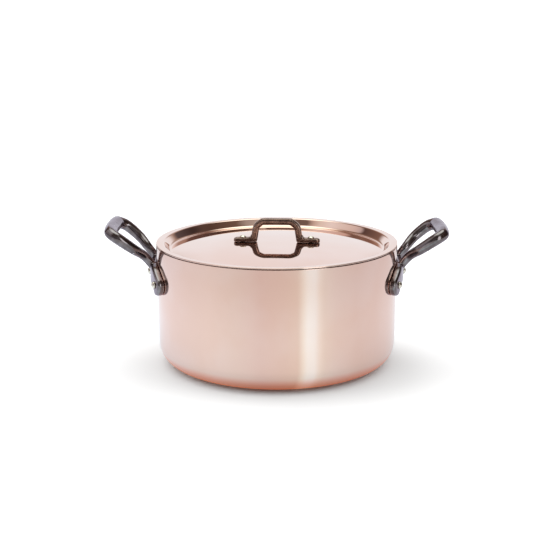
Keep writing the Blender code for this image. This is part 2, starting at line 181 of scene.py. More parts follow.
def roundCorner(before, corner, after, radius, steps):
    # arc of the given radius that touches the two straight runs which meet at corner
    before, corner, after = (np.array(p, float) for p in (before, corner, after))
    a = (before - corner) / np.linalg.norm(before - corner)
    b = (after - corner) / np.linalg.norm(after - corner)
    half = math.acos(float(np.clip(a @ b, -1, 1))) / 2
    middle = corner + (a + b) / np.linalg.norm(a + b) * radius / math.sin(half)
    start = corner + a * radius / math.tan(half) - middle
    sweep = math.copysign(math.pi - 2 * half, start[0] * b[1] - start[1] * b[0])
    angle = np.linspace(0, sweep, steps + 1)[:, None]
    turnedStart = np.array([-start[1], start[0]])
    return middle + start * np.cos(angle) + turnedStart * np.sin(angle)


def castSolid(name, shapes, voxel, smoothing):
    # overlapping closed shapes melted into one casting, with soft fillets where they meet
    starts = np.cumsum([0] + [len(points) for points, faceSets in shapes])
    allFaces = [(faces + start).tolist() for (points, faceSets), start in zip(shapes, starts)
                for faces in outwards(points, faceSets)]
    whole = bpy.data.meshes.new(name)
    whole.from_pydata(np.vstack([points for points, faceSets in shapes]).tolist(), [],
                      [face for faces in allFaces for face in faces])
    rough = bpy.data.objects.new(name + "Rough", whole)
    scene.collection.objects.link(rough)
    melt = rough.modifiers.new("Melt", "REMESH")
    melt.mode = "VOXEL"
    melt.voxel_size = voxel
    soften = rough.modifiers.new("Soften", "SMOOTH")
    soften.factor = 0.5
    soften.iterations = smoothing
    graph = bpy.context.evaluated_depsgraph_get()
    mesh = bpy.data.meshes.new_from_object(rough.evaluated_get(graph))
    bpy.data.objects.remove(rough, do_unlink=True)
    mesh.shade_smooth()
    return mesh


def moveMesh(mesh, change, *settings):
    # change takes the array of points and any settings, and gives the points back moved
    co = np.zeros(len(mesh.vertices) * 3)
    mesh.vertices.foreach_get("co", co)
    mesh.vertices.foreach_set("co", change(co.reshape(-1, 3), *settings).ravel())
    mesh.update()
    return mesh


# Materials: shader nodes

class Nodes:
    # a node tree, with short ways to add nodes and join them

    def __init__(self, tree):
        self.nodes = tree.nodes
        self.links = tree.links

    def add(self, kind, inputs=None, **settings):
        # inputs are sockets to link from, or values. A colour is written with three numbers
        made = self.nodes.new(kind)
        for key, value in settings.items():
            setattr(made, key, value)
        for key, value in (inputs or {}).items():
            socket = made.inputs[key]
            if isinstance(value, bpy.types.NodeSocket):
                self.links.new(value, socket)
            elif socket.type == "RGBA":
                socket.default_value = (*value, 1.0)
            else:
                socket.default_value = value
        return made

    def maths(self, operation, a, b=0.0):
        return self.add("ShaderNodeMath", {0: a, 1: b}, operation=operation).outputs[0]

    def length(self, a, b):
        return self.maths("SQRT", self.maths("ADD", self.maths("MULTIPLY", a, a),
                                             self.maths("MULTIPLY", b, b)))

    def ramp(self, value, low, high, start=0.0, end=1.0):
        # smooth step from start to end while the value goes from low to high
        return self.add("ShaderNodeMapRange", {"Value": value, "From Min": low, "From Max": high,
                        "To Min": start, "To Max": end},
                        interpolation_type="SMOOTHSTEP").outputs[0]

    def blend(self, share, first, second):
        # share 0 gives the first colour and share 1 the second
        return self.add("ShaderNodeMix", {0: share, 6: first, 7: second}, data_type="RGBA").outputs[2]

    def times(self, first, second):
        return self.add("ShaderNodeMix", {0: 1.0, 6: first, 7: second}, data_type="RGBA",
                        blend_type="MULTIPLY").outputs[2]

    def ring(self, x, y, tones):
        # colour by the bearing of (x, y), in degrees to the right of the front
        bearing = self.maths("ARCTAN2", x, self.maths("MULTIPLY", y, -1.0))
        share = self.maths("ADD", self.maths("DIVIDE", bearing, 2 * math.pi), 0.5)
        ramp = self.add("ShaderNodeValToRGB", {0: share})
        stops = ramp.color_ramp.elements
        for degrees, tone in tones[1:-1]:
            stops.new(degrees / 360 + 0.5)
        for stop, (degrees, tone) in zip(stops, tones):
            stop.color = (*tone, 1.0)
        return ramp.outputs[0]


class Finish(Nodes):
    # one metal, with its Principled shader at hand

    def __init__(self, name):
        self.material = bpy.data.materials.new(name)
        self.material.use_nodes = True
        super().__init__(self.material.node_tree)
        self.shader = self.nodes["Principled BSDF"]
        self.shader.inputs["Metallic"].default_value = 1.0
        self.coords = self.nodes.new("ShaderNodeTexCoord").outputs["Object"]

    def noise(self, scale, detail=3.0, roughness=0.5, vector=None, distortion=0.0):
        return self.add("ShaderNodeTexNoise", {"Vector": vector or self.coords, "Scale": scale,
                        "Detail": detail, "Roughness": roughness,
                        "Distortion": distortion}).outputs["Fac"]

    def stretch(self, scale, turn):
        return self.add("ShaderNodeMapping", {"Vector": self.coords, "Scale": scale,
                        "Rotation": turn}).outputs[0]

    def scratches(self, scale, turns, width):
        # hair lines: each is where a long drawn out noise crosses its middle value
        total = None
        for turn in turns:
            value = self.noise(1.0, 2.0, 0.5, self.stretch(scale, turn))
            near = self.maths("ABSOLUTE", self.maths("SUBTRACT", value, 0.5))
            line = self.ramp(near, 0.0, width, 1.0, 0.0)
            total = line if total is None else self.maths("MAXIMUM", total, line)
        return total

    def around(self, ringScale, turnScale):
        # coordinates that follow a turned piece: radius, angle and height
        split = self.add("ShaderNodeSeparateXYZ", {0: self.coords}).outputs
        radius = self.length(split[0], split[1])
        angle = self.maths("ARCTAN2", split[1], split[0])
        return self.add("ShaderNodeCombineXYZ", {0: self.maths("MULTIPLY", radius, ringScale),
                        1: self.maths("MULTIPLY", angle, turnScale),
                        2: self.maths("MULTIPLY", split[2], ringScale)}).outputs[0]

    def openness(self, reach, ownOnly=False):
        # 1 in the open, less where faces nearer than reach close a place in
        return self.add("ShaderNodeAmbientOcclusion", {"Distance": reach}, samples=8,
                        only_local=ownOnly).outputs["AO"]

    def sharpness(self):
        # a half on flat parts, more along the edges
        return self.add("ShaderNodeNewGeometry").outputs["Pointiness"]

    def bump(self, height, distance, under=None):
        # distance is the height of the bump in metres
        inputs = {"Height": height, "Distance": distance, "Strength": 1.0}
        if under is not None:
            inputs["Normal"] = under
        return self.add("ShaderNodeBump", inputs).outputs[0]

    def finish(self, colour, roughness, normal):
        self.links.new(colour, self.shader.inputs["Base Color"])
        self.links.new(roughness, self.shader.inputs["Roughness"])
        self.links.new(normal, self.shader.inputs["Normal"])
        return self.material


copperLook = {
    "rose": (0.865, 0.640, 0.575),       # polished copper under white light
    "warm": (0.850, 0.600, 0.520),
    # tarnish colour, also used as painted shade in hollows
    "tarnishAndShade": (0.56, 0.28, 0.18),
    "haze": 0.10,              # how much rougher the wiped parts are
    "swell": 0.00002,          # heights of the slow waves and of the other marks, in metres
    "baseRings": 0.00002,
    "spinning": 0.0000004,
    "hairLines": 0.0000012,
}
# gloss is the least roughness, wear the strength of the marks of use, and the last setting is how far
# the tarnish and the painted shade in hollows reach out of a corner
panCopperLook = dict(copperLook, gloss=0.050, wear=1.0, soilAndShade=0.0015)
lidCopperLook = dict(copperLook, gloss=0.016, wear=0.35, soilAndShade=0.0060)


def polishedCopper(name, look):
    # mirror copper: slow changes of tone, wipe marks, hair lines and a little haze
    f = Finish(name)
    gloss, wear = look["gloss"], look["wear"]
    patches = f.noise(16.0, 3.0)
    tone = f.blend(f.ramp(patches, 0.35, 0.65), look["rose"], look["warm"])
    wipes = f.noise(1.0, 3.0, 0.6, f.stretch((34.0, 34.0, 11.0), (0.3, 0.2, 0.0)), 0.6)
    # painted shade: hollows darken towards the tarnish colour, partly real tarnish
    stainAndShade = f.ramp(f.openness(look["soilAndShade"], ownOnly=True), 0.20, 0.92, 0.75, 0.0)
    colour = f.blend(stainAndShade, tone, look["tarnishAndShade"])
    # sharp edges, such as the rims, darken towards the same colour
    edge = f.ramp(f.sharpness(), 0.55, 0.64, 0.0, 0.8)
    colour = f.blend(edge, colour, look["tarnishAndShade"])
    lines = f.scratches((9.0, 900.0, 260.0), ((0.0, 0.0, 0.0), (0.7, 0.2, 0.5), (0.1, 0.9, 2.1)), 0.004)
    where = f.ramp(f.noise(45.0, 2.0), 0.48, 0.62)
    marks = f.maths("MULTIPLY", lines, where)
    soft = f.ramp(wipes, 0.35, 0.75, gloss, gloss + look["haze"] * wear)
    below = f.ramp(f.add("ShaderNodeSeparateXYZ", {0: f.coords}).outputs[2], 0.0010, 0.0002)
    rings = f.maths("MULTIPLY", below, f.noise(1.0, 3.0, 0.6, f.around(900.0, 1.0)))
    roughness = f.maths("ADD", soft, f.maths("MULTIPLY", marks, 0.10 * wear))
    roughness = f.maths("ADD", roughness, f.maths("MULTIPLY", below, 0.12))
    swell = f.bump(f.noise(30.0, 1.0), look["swell"])
    swell = f.bump(rings, look["baseRings"], swell)
    grain = f.bump(f.noise(1.0, 2.0, 0.6, f.around(2600.0, 14.0)), look["spinning"], swell)
    return f.finish(colour, roughness, f.bump(marks, look["hairLines"], grain))


steelLook = {
    "bright": (0.66, 0.65, 0.63),
    "dull": 0.86,              # share of the bright colour between the broad rings
    # dark brown used as painted shade in crevices, partly soil
    "soilAndShade": (0.17, 0.08, 0.05),
    "panGloss": 0.20,
    "lidGloss": 0.18,
    "haze": 0.14,
    "rings": 0.000004,         # heights of the marks, in metres
    "scouring": 0.000003,
}


def spunSteel(name, look, gloss):
    # lining: turning marks run round the axis, with scouring lines across them
    f = Finish(name)
    rings = f.noise(1.0, 4.0, 0.7, f.around(1900.0, 3.0))
    broad = f.noise(1.0, 2.0, 0.5, f.around(160.0, 1.2))
    lines = f.scratches((12.0, 700.0, 300.0), ((0.2, 0.1, 0.4), (0.5, 0.8, 1.7)), 0.006)
    dull = tuple(look["dull"] * c for c in look["bright"])
    tone = f.blend(f.ramp(broad, 0.3, 0.7), look["bright"], dull)
    # painted shade: the lining goes dark brown where faces close it in, partly soil
    tone = f.blend(f.ramp(f.openness(0.0015), 0.2, 0.8, 0.95, 0.0), tone, look["soilAndShade"])
    roughness = f.maths("ADD", f.ramp(rings, 0.25, 0.75, gloss, gloss + look["haze"]),
                        f.maths("MULTIPLY", lines, 0.12))
    return f.finish(tone, roughness, f.bump(rings, look["rings"], f.bump(lines, look["scouring"])))


ironLook = {
    "metal": (0.260, 0.234, 0.250),
    "dark": (0.160, 0.138, 0.145),
    # edge colour: partly wear, partly painted highlight
    "wornAndHighlight": (0.560, 0.530, 0.550),
    # crevice colour: painted shade with some dirt
    "creviceDirtAndShade": (0.260, 0.120, 0.080),
    "edge": (0.95, 0.88, 0.94),          # tint at a low angle
    "gloss": 0.09,
    "haze": 0.09,
    "grain": 0.000004,         # height of the sandy grain, in metres
    "swell": 0.00006,          # height of the slow waves
    "sand": 1150.0,            # fineness of the grain
}
lidIronLook = {
    "metal": (0.280, 0.190, 0.160),
    "dark": (0.165, 0.108, 0.090),
    # edge colour: partly wear, partly painted highlight
    "wornAndHighlight": (0.480, 0.380, 0.330),
    # crevice colour: painted shade with some dirt
    "creviceDirtAndShade": (0.070, 0.042, 0.034),
    "edge": (0.90, 0.80, 0.76),
    "gloss": 0.15,
    "haze": 0.15,
    "grain": 0.00016,
    "swell": 0.00010,
    "sand": 620.0,
}


def castIron(name, look):
    # tumbled cast iron: sandy grain, a few pits, slow waves, edges a little brighter from wear and as
    # painted highlight, crevices in painted shade
    f = Finish(name)
    f.shader.inputs["Specular Tint"].default_value = (*look["edge"], 1.0)
    sand = f.noise(look["sand"], 3.0, 0.62)
    waves = f.noise(120.0, 2.0, 0.5)
    cells = f.add("ShaderNodeTexVoronoi", {"Vector": f.coords, "Scale": 620.0}).outputs["Distance"]
    pits = f.ramp(cells, 0.04, 0.22)
    body = f.blend(f.ramp(waves, 0.35, 0.68), look["metal"], look["dark"])
    # brighter edges: partly wear, partly painted highlight
    edges = f.ramp(f.sharpness(), 0.510, 0.532)
    colour = f.blend(f.maths("MULTIPLY", edges, 0.9), body, look["wornAndHighlight"])
    # painted shade: crevices darken, with some dirt
    colour = f.blend(f.ramp(f.openness(0.002), 0.15, 0.80, 0.8, 0.0), colour, look["creviceDirtAndShade"])
    roughness = f.ramp(sand, 0.25, 0.75, look["gloss"], look["gloss"] + look["haze"])
    grain = f.bump(sand, look["grain"], f.bump(waves, look["swell"]))
    return f.finish(colour, roughness, f.bump(pits, look["grain"] / 3, grain))


rivetLook = {
    "bright": (0.86, 0.82, 0.74),
    "dull": (0.74, 0.69, 0.60),
    # dark brown used as painted shade round the heads, partly soil
    "soilAndShade": (0.20, 0.15, 0.11),
    "gloss": 0.12,
    "haze": 0.14,
    "dents": 0.00010,          # heights of the setting dents and of the fine marks, in metres
    "fine": 0.000006,
}


def rivetSteel(name, look):
    # bright steel heads with setting marks
    f = Finish(name)
    dents = f.noise(420.0, 2.0, 0.5)
    fine = f.noise(2600.0, 2.0, 0.6)
    clean = f.blend(f.ramp(dents, 0.35, 0.65), look["bright"], look["dull"])
    # painted shade round the heads, partly soil
    colour = f.blend(f.ramp(f.openness(0.0015), 0.1, 0.6, 0.7, 0.0), clean, look["soilAndShade"])
    roughness = f.ramp(fine, 0.3, 0.7, look["gloss"], look["gloss"] + look["haze"])
    return f.finish(colour, roughness, f.bump(dents, look["dents"], f.bump(fine, look["fine"])))


panCopper = polishedCopper("panCopper", panCopperLook)
lidCopper = polishedCopper("lidCopper", lidCopperLook)
panSteel = spunSteel("panSteel", steelLook, steelLook["panGloss"])
lidSteel = spunSteel("lidSteel", steelLook, steelLook["lidGloss"])
handleIron = castIron("handleIron", ironLook)
lidHandleIron = castIron("lidHandleIron", lidIronLook)
rivetMetal = rivetSteel("rivetMetal", rivetLook)
print("materials made")


# Pan: copper body and steel lining

panShape = {
    "wallDraw": 0.0010,        # the wall is this much narrower at its foot
    "corner": 0.0219,          # outside radius between wall and base
    "copper": 0.0015,
    "lining": 0.0007,          # from the copper's inner face to the lining's
    "rimRounding": 0.00035,
    "around": 288,             # faces round the axis
}


def panFace(depth):
    # side view of the face that lies depth inside the outer one, from rim to axis
    foot = panRadius - panShape["wallDraw"] - depth
    corner = panShape["corner"] - depth
    height = panShape["corner"]
    wall = straight((panRadius - depth, panHeight - 2 * panShape["rimRounding"]), (foot, height), 24)
    bend = arc(foot - corner, height, corner, 0, -90, 26)
    return outline(wall, bend, straight((foot - corner, depth), (0.0, depth), 30))


def sheetProfile(outer, inner):
    # the outer face from the axis up, the rounded rim, and the inner face down again
    r = panShape["rimRounding"]
    s = min(r, (inner - outer) / 2)
    rimOut = arc(panRadius - outer - r, panHeight - r, r, 0, 90, 5)
    rimIn = arc(panRadius - inner + s, panHeight - s, s, 90, 180, 5)
    return outline(panFace(outer)[::-1], rimOut, rimIn, panFace(inner))


copperSheet = sheetProfile(0.0, panShape["copper"])
liningSheet = sheetProfile(panShape["copper"] + sheetGap, panShape["copper"] + panShape["lining"])
copperBody = addPiece("panCopperBody", makeMesh("panCopperBody", *turned(
    copperSheet, panShape["around"])), panCopper)
panLining = addPiece("panSteelLining", makeMesh("panSteelLining", *turned(
    liningSheet, panShape["around"])), panSteel)
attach(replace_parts(copperBody, "pan_copper_body"), "pan")
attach(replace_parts(panLining, "pan_steel_lining"), "pan")
print("pan made")


# Lid: copper shell and steel lining, both turned

lidShape = {
    "copper": 0.0011,
    "lining": 0.00038,
    "flange": 0.0077,          # width of the flange, to the sharp corner of the step
    "faceEnd": 0.0004,         # the face is drawn to this far from the rim, then cut for its edge
    "shoulder": 0.0028,        # radius between the flange and the step
    "stepRun": 0.0060,
    "stepDrop": 0.0081,
    "hollow": 0.0040,          # radius between the step and the panel
    "crown": 0.0065,           # rise of the panel from its edge to its middle
    "crownPower": 2.0,
    "seat": 0.0250,            # flat middle
    "edgeInset": 0.0007,       # the lining stops this much short of the copper's edge
    "around": 288,
}
panelTop = lidTop - lidShape["stepDrop"] + lidShape["crown"]


def lidTopFace():
    # side view of the upper face from the axis out: flat seat, crown falling with a power
    # of the way out, hollow, step, shoulder and flange
    stepOut = (panRadius - lidShape["flange"], lidTop)
    edge = stepOut[0] - lidShape["stepRun"]
    part = np.linspace(0, 1, 41)
    crown = np.column_stack([lidShape["seat"] + (edge - lidShape["seat"]) * part,
                             panelTop - lidShape["crown"] * part ** lidShape["crownPower"]])
    foot = tuple(crown[-1])
    slope = lidShape["crown"] * lidShape["crownPower"] / (edge - lidShape["seat"])
    back = 0.01                # any length along the crown's tangent will do
    hollow = roundCorner((foot[0] - back, foot[1] + back * slope), foot, stepOut, lidShape["hollow"], 14)
    shoulder = roundCorner(foot, stepOut, (panRadius, lidTop), lidShape["shoulder"], 14)
    closest = 0.0002           # no crown point comes closer to the hollow
    crown = crown[crown[:, 0] < hollow[0, 0] - closest]
    return outline(straight((0.0, panelTop), (lidShape["seat"], panelTop), 12), crown, hollow,
                   straight(hollow[-1], shoulder[0], 3), shoulder,
                   straight(shoulder[-1], (panRadius - lidShape["faceEnd"], lidTop), 6))


def sunk(face, depth):
    # the same line moved down along its own normals
    along = directions(face)
    moved = face + depth * np.column_stack([along[:, 1], -along[:, 0]])
    moved[0] = (0.0, face[0, 1] - depth)
    return moved


def lidSheet(upper, lower, inset):
    # upper face out, a rounded edge, lower face back to the axis
    face = lidTopFace()
    top, under = sunk(face, upper), sunk(face, lower)
    half = (lower - upper) / 2
    limit = panRadius - inset - half
    top, under = top[top[:, 0] < limit], under[under[:, 0] < limit]
    edge = arc(limit, lidTop - upper - half, half, 90, -90, 8)
    return outline(top, edge, under[::-1])


lidShell = addPiece("lidCopperShell", makeMesh("lidCopperShell", *turned(
    lidSheet(0.0, lidShape["copper"], 0.0), lidShape["around"])), lidCopper)
lidLining = addPiece("lidSteelLining", makeMesh("lidSteelLining", *turned(
    lidSheet(lidShape["copper"] + sheetGap, lidShape["copper"] + lidShape["lining"],
             lidShape["edgeInset"]), lidShape["around"])), lidSteel)
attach(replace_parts(lidShell, "lid_copper_shell"), "lid")
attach(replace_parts(lidLining, "lid_steel_lining"), "lid")
print("lid made")


# Rivets: turned heads on a shank, placed where the frame has them

def frameAt(point, outward, up):
    # 4 x 4 array whose third column points outwards and whose second is near up
    z = np.array(outward, float)
    z /= np.linalg.norm(z)
    x = np.cross(up, z)
    x /= np.linalg.norm(x)
    place = np.eye(4)
    place[:3, 0], place[:3, 1], place[:3, 2], place[:3, 3] = x, np.cross(z, x), z, point
    return place


rivetHead = {
    "band": 0.35,              # share of the rise that is nearly upright
    "cap": 0.93,               # share of the dome above the lip
    "lip": ((0.995, 0.85), (1.0, 0.45), (1.0, 0.0)),     # shares of the radius and the band
}


def headProfile(radius, rise):
    # dome from its tip outwards, and a lip that turns down into a short band
    band = rise * rivetHead["band"]
    domeRise = rise - band
    ball = (radius ** 2 + domeRise ** 2) / (2 * domeRise)
    reach = math.degrees(math.asin(min(radius / ball, 1.0)))
    cap = arc(0.0, rise - ball, ball, 90, 90 - reach * rivetHead["cap"], 14)
    lip = [(radius * out, band * up) for out, up in rivetHead["lip"]]
    return outline(cap, throughPoints(np.array([cap[-1], *lip]), 4))


def rivetPiece(name, node, body, place, grip, rivet):
    # place is the seat of the outer head, grip the thickness between the two heads
    top = headProfile(*rivet["head"])
    foot = headProfile(*rivet["inner"]) * (1, -1) - (0, grip)
    profile = outline(top, [(rivet["shank"], 0.0), (rivet["shank"], -grip)], foot[::-1])
    piece = addPiece(name, makeMesh(name, *turned(profile, 40, place)), rivetMetal)
    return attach(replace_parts(piece, node), body)


wallRivet = {
    "head": (0.0036, 0.0030),            # radius and rise
    "inner": (0.0045, 0.0016),
    "shank": 0.0022,
    "plate": 0.0066,           # thickness of the foot plate that it holds
}


def wallRadius(height):
    # outside radius of the copper between the rim and the base corner
    span = panHeight - panShape["corner"]
    return panRadius - panShape["wallDraw"] * (panHeight - height) / span


wallStack = panShape["copper"] + panShape["lining"]
for side in ("right", "left"):
    for label in ("front", "middle", "rear"):
        node = f"{side}_handle_rivet_{label}"
        low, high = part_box(node)
        centre = np.array((low + high) / 2)
        azimuth = math.atan2(centre[1], centre[0])
        outward = np.array([math.cos(azimuth), math.sin(azimuth), 0.0])
        seat = wallRadius(centre[2]) + clearance + wallRivet["plate"] + clearance
        place = frameAt(outward * seat + (0, 0, centre[2]), outward, (0, 0, 1))
        grip = wallRivet["plate"] + 3 * clearance + wallStack
        rivetPiece(f"{side}HandleRivet{label.title()}", node, "pan", place, grip, wallRivet)

archRivet = {
    "head": (0.0033, 0.0018),
    "inner": (0.0045, 0.0016),
    "shank": 0.0018,
    "ear": 0.0041,             # height of the ear's top under the head
}
lidStack = lidShape["copper"] + lidShape["lining"]
for side in ("left", "right"):
    node = f"lid_rivet_{side}"
    low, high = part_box(node)
    centre = (low + high) / 2
    seat = seatTop + archRivet["ear"] + clearance
    place = frameAt((centre.x, centre.y, seat), (0, 0, 1), (0, 1, 0))
    grip = archRivet["ear"] + 3 * clearance + lidStack
    rivetPiece(f"lidRivet{side.title()}", node, "lid", place, grip, archRivet)
print("rivets made")


# Side handles: a foot plate bent round the wall and a loop that leans out

sideHandle = {
    "plateThickness": 0.0066,
    "outerRounding": 0.0028,
    "rearRounding": 0.0008,
    "lobeRadius": 0.0112,
    "neckRise": 0.0168,        # top edge of the plate above the lower rivets
    "neckHalfWidth": 0.0250,
    "bridgeDrop": 0.0040,
    "loopReach": 0.0432,       # wall to the middle of the grip bar
    "loopRise": 0.0493,
    "loopHalfWidth": 0.0345,
    "rootHalfWidth": 0.0195,
    "rootRise": 0.0104,
    "barHalf": (0.0036, 0.0040),         # half width and half thickness at the roots
    "gripHalf": (0.0070, 0.0056),
    "barSwell": 0.0007,        # how much the side bars swell in thickness
    "swellWidth": 0.6,         # share of that by which they widen
    "swellShift": 0.8,         # share of that by which they move to their outer side
    "nose": 0.0012,            # how far the grip bar bows outwards
    "droop": 0.0020,           # how much lower the right loop's tip hangs
    "droopStart": 0.008,       # where that begins, from the wall
    "droopPower": 1.5,
    "squareness": 2.3,
    "voxel": 0.0005,
    "smoothing": 7,
}
# middle line from root to grip, as shares of the reach, the rise and the half width
loopShares = np.array([(0.00, 0.00, 0.00), (0.24, 0.35, 0.04), (0.47, 0.60, 0.70), (0.76, 0.86, 0.98),
                       (0.93, 0.97, 0.74), (0.99, 1.00, 0.32)])
lowRivet = (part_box("right_handle_rivet_front")[0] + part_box("right_handle_rivet_front")[1]) / 2
rivetHeight = lowRivet.z
rivetSpread = abs(math.atan2(lowRivet.y, lowRivet.x)) * panRadius


def handleLoop():
    # bar along the loop. Its half sizes grow from root to grip by 3p^2 - 2p^3 of the way p,
    # and its sides swell by 4p(1 - p)
    h = sideHandle
    root = np.array([0.0, h["rootHalfWidth"], h["rootRise"]])
    reach = np.array([h["loopReach"], h["loopHalfWidth"], h["loopRise"]])
    half = root + (reach - root) * loopShares[:, [0, 2, 1]]
    half += (wallRadius(rivetHeight), 0.0, rivetHeight)
    middle = half[-1] * (1, 0, 1) + (h["nose"], 0, 0)
    path = evenly(throughPoints(np.vstack([half, middle, half[::-1] * (1, -1, 1)]), 40), 220)
    rise = path[len(path) // 3] - path[0]
    facing = np.array([-rise[2], 0.0, rise[0]]) / math.hypot(rise[0], rise[2])
    along = directions(path)
    normal = facing - along * (along @ facing)[:, None]
    normal /= np.linalg.norm(normal, axis=1)[:, None]
    across = np.cross(along, normal)
    part = 1 - np.abs(np.linspace(-1, 1, len(path)))
    ease = (part ** 2 * (3 - 2 * part))[:, None]
    swell = (4 * part * (1 - part))[:, None] * h["barSwell"]
    wide = h["barHalf"][0] + (h["gripHalf"][0] - h["barHalf"][0]) * ease + swell * h["swellWidth"]
    thick = h["barHalf"][1] + (h["gripHalf"][1] - h["barHalf"][1]) * ease + swell
    outerSide = -normal * swell * h["swellShift"]
    return swept(path + outerSide, across * wide, normal * thick, h["squareness"], 48)


handleScale = 2.5614           # gives arcs close to a circle's


def autoCurve(points, pieces):
    # open Bezier curve whose handles lie along the mean direction of their neighbours
    before = np.vstack([2 * points[0] - points[1], points[:-1]])
    after = np.vstack([points[1:], 2 * points[-1] - points[-2]])
    lengthIn = np.linalg.norm(points - before, axis=1)[:, None]
    lengthOut = np.linalg.norm(after - points, axis=1)[:, None]
    mean = (points - before) / lengthIn + (after - points) / lengthOut
    scale = np.linalg.norm(mean, axis=1)[:, None] * handleScale
    leave, arrive = points + mean * lengthOut / scale, points - mean * lengthIn / scale
    a, b, c, d = points[:-1, None], leave[:-1, None], arrive[1:, None], points[1:, None]
    t = np.linspace(0, 1, pieces, endpoint=False)[None, :, None]
    curve = a * (1 - t) ** 3 + 3 * b * t * (1 - t) ** 2 + 3 * c * t ** 2 * (1 - t) + d * t ** 3
    return np.vstack([curve.reshape(-1, 2), points[-1:]])


def footPlate():
    # ruled between the upper and the lower half of the outline. A ring crosses the front
    # face, turns over the upper edge, comes back along the rear face and the lower edge.
    # The flat plate is then rolled round the wall: its width becomes an angle
    h = sideHandle
    side = rivetSpread + h["lobeRadius"]
    lobe = h["lobeRadius"]
    right = [(h["neckHalfWidth"], h["neckRise"]), (rivetSpread, lobe), (side, 0.0),
             (rivetSpread, -lobe), (rivetSpread - lobe, -lobe / 2)]
    left = [(-x, y) for x, y in reversed(right)]
    loop = np.array([(0.0, -h["bridgeDrop"])] + left + [(0.0, h["neckRise"])] + right
                    + [(0.0, -h["bridgeDrop"])])
    wrapped = np.vstack([loop[-3:-1], loop, loop[1:3]])
    pieces = 30
    dense = autoCurve(wrapped, pieces)[2 * pieces:-2 * pieces]
    leftEnd, rightEnd = int(np.argmin(dense[:, 0])), int(np.argmax(dense[:, 0]))
    upper = evenly(dense[leftEnd:rightEnd + 1], 161)
    lower = evenly(np.vstack([dense[rightEnd:-1], dense[:leftEnd + 1]])[::-1], 161)
    tangentUp, tangentLow = directions(upper), directions(lower)
    inUp = np.column_stack([tangentUp[:, 1], -tangentUp[:, 0]])
    inLow = np.column_stack([-tangentLow[:, 1], tangentLow[:, 0]])
    for inward in (inUp, inLow):
        inward[0], inward[-1] = (1, 0), (-1, 0)
    outer, rear, half = h["outerRounding"], h["rearRounding"], h["plateThickness"] / 2
    rings = []

    def face(shares, rounding, depth):
        for share in shares:
            a, b = lower + inLow * rounding, upper + inUp * rounding
            rings.append(np.column_stack([a + (b - a) * share, np.full(len(a), depth)]))

    def edge(line, inward, degrees):
        for angle in np.radians(degrees):
            rounding = outer if angle > 0 else rear
            depth = (half - rounding) * np.sign(round(angle, 6)) + rounding * math.sin(angle)
            inset = line + inward * rounding * (1 - math.cos(angle))
            rings.append(np.column_stack([inset, np.full(len(inset), depth)]))

    face(np.linspace(0, 1, 13), outer, half)
    edge(upper, inUp, np.linspace(90, -90, 13)[1:-1])
    face(np.linspace(1, 0, 13), rear, -half)
    edge(lower, inLow, np.linspace(-90, 90, 13)[1:-1])
    grid = np.stack(rings, axis=1)
    along, rise, out = grid[..., 0], grid[..., 1], grid[..., 2]
    height = rivetHeight + rise
    radius = wallRadius(height) + clearance + half + out
    points = np.stack([radius * np.cos(along / panRadius), radius * np.sin(along / panRadius),
                       height], axis=-1)
    return points.reshape(-1, 3), [gridFaces(grid.shape[0], grid.shape[1])]


def offTheWall(points):
    # nothing of a side handle lies closer to the wall than the clearance
    radius = np.hypot(points[:, 0], points[:, 1])
    least = wallRadius(points[:, 2]) + clearance
    grow = np.where((radius < least) & (points[:, 2] < panHeight), least / radius, 1.0)
    return points * np.column_stack([grow, grow, np.ones(len(points))])


def fitted(points, sign, droop):
    # turned half round for the left side, and lowered with a power of the way out of the loop
    h = sideHandle
    reach = np.clip((points[:, 0] - panRadius - h["droopStart"]) / h["loopReach"], 0.0, 1.0)
    return np.column_stack([points[:, :2] * sign, points[:, 2] - droop * reach ** h["droopPower"]])


casting = moveMesh(castSolid("sideHandle", [footPlate(), handleLoop()], sideHandle["voxel"],
                             sideHandle["smoothing"]), offTheWall)
for side, sign, droop in (("right", 1, sideHandle["droop"]), ("left", -1, 0.0)):
    mesh = moveMesh(casting.copy(), fitted, sign, droop)
    handle = addPiece(side + "Handle", mesh, handleIron)
    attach(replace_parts(handle, side + "_handle"), "pan")
bpy.data.meshes.remove(casting)
print("side handles made")


# Lid handle: an arch of square bar with a flat ear at each foot

arch = {
    "yaw": math.radians(-4.0),
    "width": 0.0530,           # outside, at its feet
    "topWidth": 0.0484,
    "height": 0.0240,
    "bar": 0.0066,
    "depth": 0.0084,
    "corner": (0.0062, 0.0082),          # cut off each top corner, across and down
    "bend": 1.1,               # radius of the bends, in bars
    "footRise": 0.0012,        # the bar's middle line starts this far above the seat
    "earReach": 0.0437,
    "earThickness": 0.0043,
    "earStart": 0.0006,        # the ear starts this far outside the leg's inner face
    "earEnd": 0.0034,
    "earFillet": 0.0024,
    "squareness": 3.6,
    "voxel": 0.00038,
    "smoothing": 6,
}


def archBar():
    # one bar up the left leg, over the top and down the right leg, bent at its four corners
    half = arch["bar"] / 2
    bend = arch["bar"] * arch["bend"]
    foot = (arch["width"] / 2 - half, arch["footRise"])
    shoulder = (arch["topWidth"] / 2 - half, arch["height"] - arch["corner"][1])
    crest = (shoulder[0] - arch["corner"][0], arch["height"] - half)
    top = (0.0, crest[1])
    right = evenly(outline(top, roundCorner(top, crest, shoulder, bend, 12),
                           roundCorner(crest, shoulder, foot, bend, 12), foot), 90)
    line = np.vstack([right[::-1] * (-1, 1), right[1:]])
    path = np.column_stack([line[:, 0], 0 * line[:, 0], line[:, 1]])
    along = directions(path)
    normal = np.column_stack([-along[:, 2], 0 * along[:, 0], along[:, 0]]) * half
    across = np.tile((0.0, arch["depth"] / 2, 0.0), (len(path), 1))
    return swept(path, across, normal, arch["squareness"], 44)


